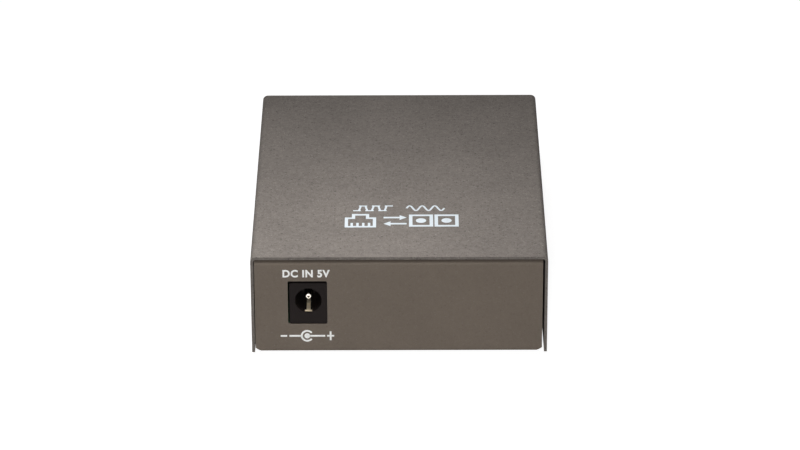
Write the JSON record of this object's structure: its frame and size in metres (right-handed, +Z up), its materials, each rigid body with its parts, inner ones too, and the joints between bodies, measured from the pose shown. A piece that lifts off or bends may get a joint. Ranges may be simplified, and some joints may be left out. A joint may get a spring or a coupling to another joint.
{
  "type": "fibre media converter",
  "caption": "Small folded-metal box joining a fibre pair to a copper network line: sockets, lamps and DIP switch at the front, DC power inlet at the rear.",
  "frame": {"origin": "on the resting plane, under the middle of the case", "axes": "+Z up, -Y towards the front wall with the sockets, +Y towards the rear wall with the DC inlet"},
  "size_m": [0.071, 0.0944, 0.0269],
  "materials": {
    "coated_steel": "fine matt powder coat, grey brown",
    "coated_steel_panel": "fine matt powder coat, grey brown",
    "dark_screw": "black oxide",
    "foot_rubber": "matt",
    "board": "solder mask, satin",
    "plated_metal": "bright plated",
    "black_plastic": "moulded, satin",
    "bright_nickel": "nickel plate",
    "contact_metal": "tinned",
    "gold_contact": "gold flash",
    "sleeve_plastic": "moulded, satin",
    "lamp_plastic": "clear tinted",
    "switch_plastic": "moulded, satin",
    "lever_plastic": "moulded, satin",
    "package_plastic": "moulding compound",
    "ferrite": "sintered, matt",
    "fuse_body": "matt",
    "ceramic": "fired, satin"
  },
  "bodies": {
    "case": {"base_tray": "coated_steel_panel", "board_screws": "plated_metal", "board_standoffs": "plated_metal", "bulk_capacitors": "plated_metal", "ceramic_capacitors": "ceramic", "chip_resistors": "package_plastic", "circuit_board": "board", "clock_crystal": "plated_metal", "converter_chip": "package_plastic", "converter_chip_leads": "contact_metal", "cover": "coated_steel", "cover_screws": "dark_screw", "dc_jack_body": "black_plastic", "dc_jack_pin": "bright_nickel", "dc_jack_spring": "contact_metal", "dc_jack_terminals": "contact_metal", "dip_switch_body": "switch_plastic", "dip_switch_pins": "contact_metal", "ethernet_jack_body": "black_plastic", "ethernet_jack_contacts": "gold_contact", "ethernet_jack_leads": "contact_metal", "ethernet_jack_shield": "bright_nickel", "fibre_ferrule_sleeves": "sleeve_plastic", "fibre_latch_arms": "sleeve_plastic", "fibre_transceiver_body": "black_plastic", "fibre_transceiver_pins": "contact_metal", "inductor_base": "package_plastic", "input_fuse": "fuse_body", "led_holder": "black_plastic", "led_leads": "contact_metal", "memory_chip": "package_plastic", "memory_chip_leads": "contact_metal", "network_transformer": "package_plastic", "network_transformer_leads": "contact_metal", "power_inductor": "ferrite", "regulator_leads": "contact_metal", "rubber_feet": "foot_rubber", "status_leds": "lamp_plastic", "voltage_regulator": "package_plastic"},
    "lever_1": {"dip_lever_1": "lever_plastic"},
    "lever_2": {"dip_lever_2": "lever_plastic"},
    "lever_3": {"dip_lever_3": "lever_plastic"},
    "lever_4": {"dip_lever_4": "lever_plastic"}
  },
  "joints": [
    {"name": "dip_slide_1", "type": "slide", "parent": "case", "child": "lever_1", "axis": [0, 0, 1], "range_m": [0, 0.0016]},
    {"name": "dip_slide_2", "type": "slide", "parent": "case", "child": "lever_2", "axis": [0, 0, 1], "range_m": [0, 0.0016]},
    {"name": "dip_slide_3", "type": "slide", "parent": "case", "child": "lever_3", "axis": [0, 0, 1], "range_m": [0, 0.0016]},
    {"name": "dip_slide_4", "type": "slide", "parent": "case", "child": "lever_4", "axis": [0, 0, 1], "range_m": [0, 0.0016]}
  ]
}
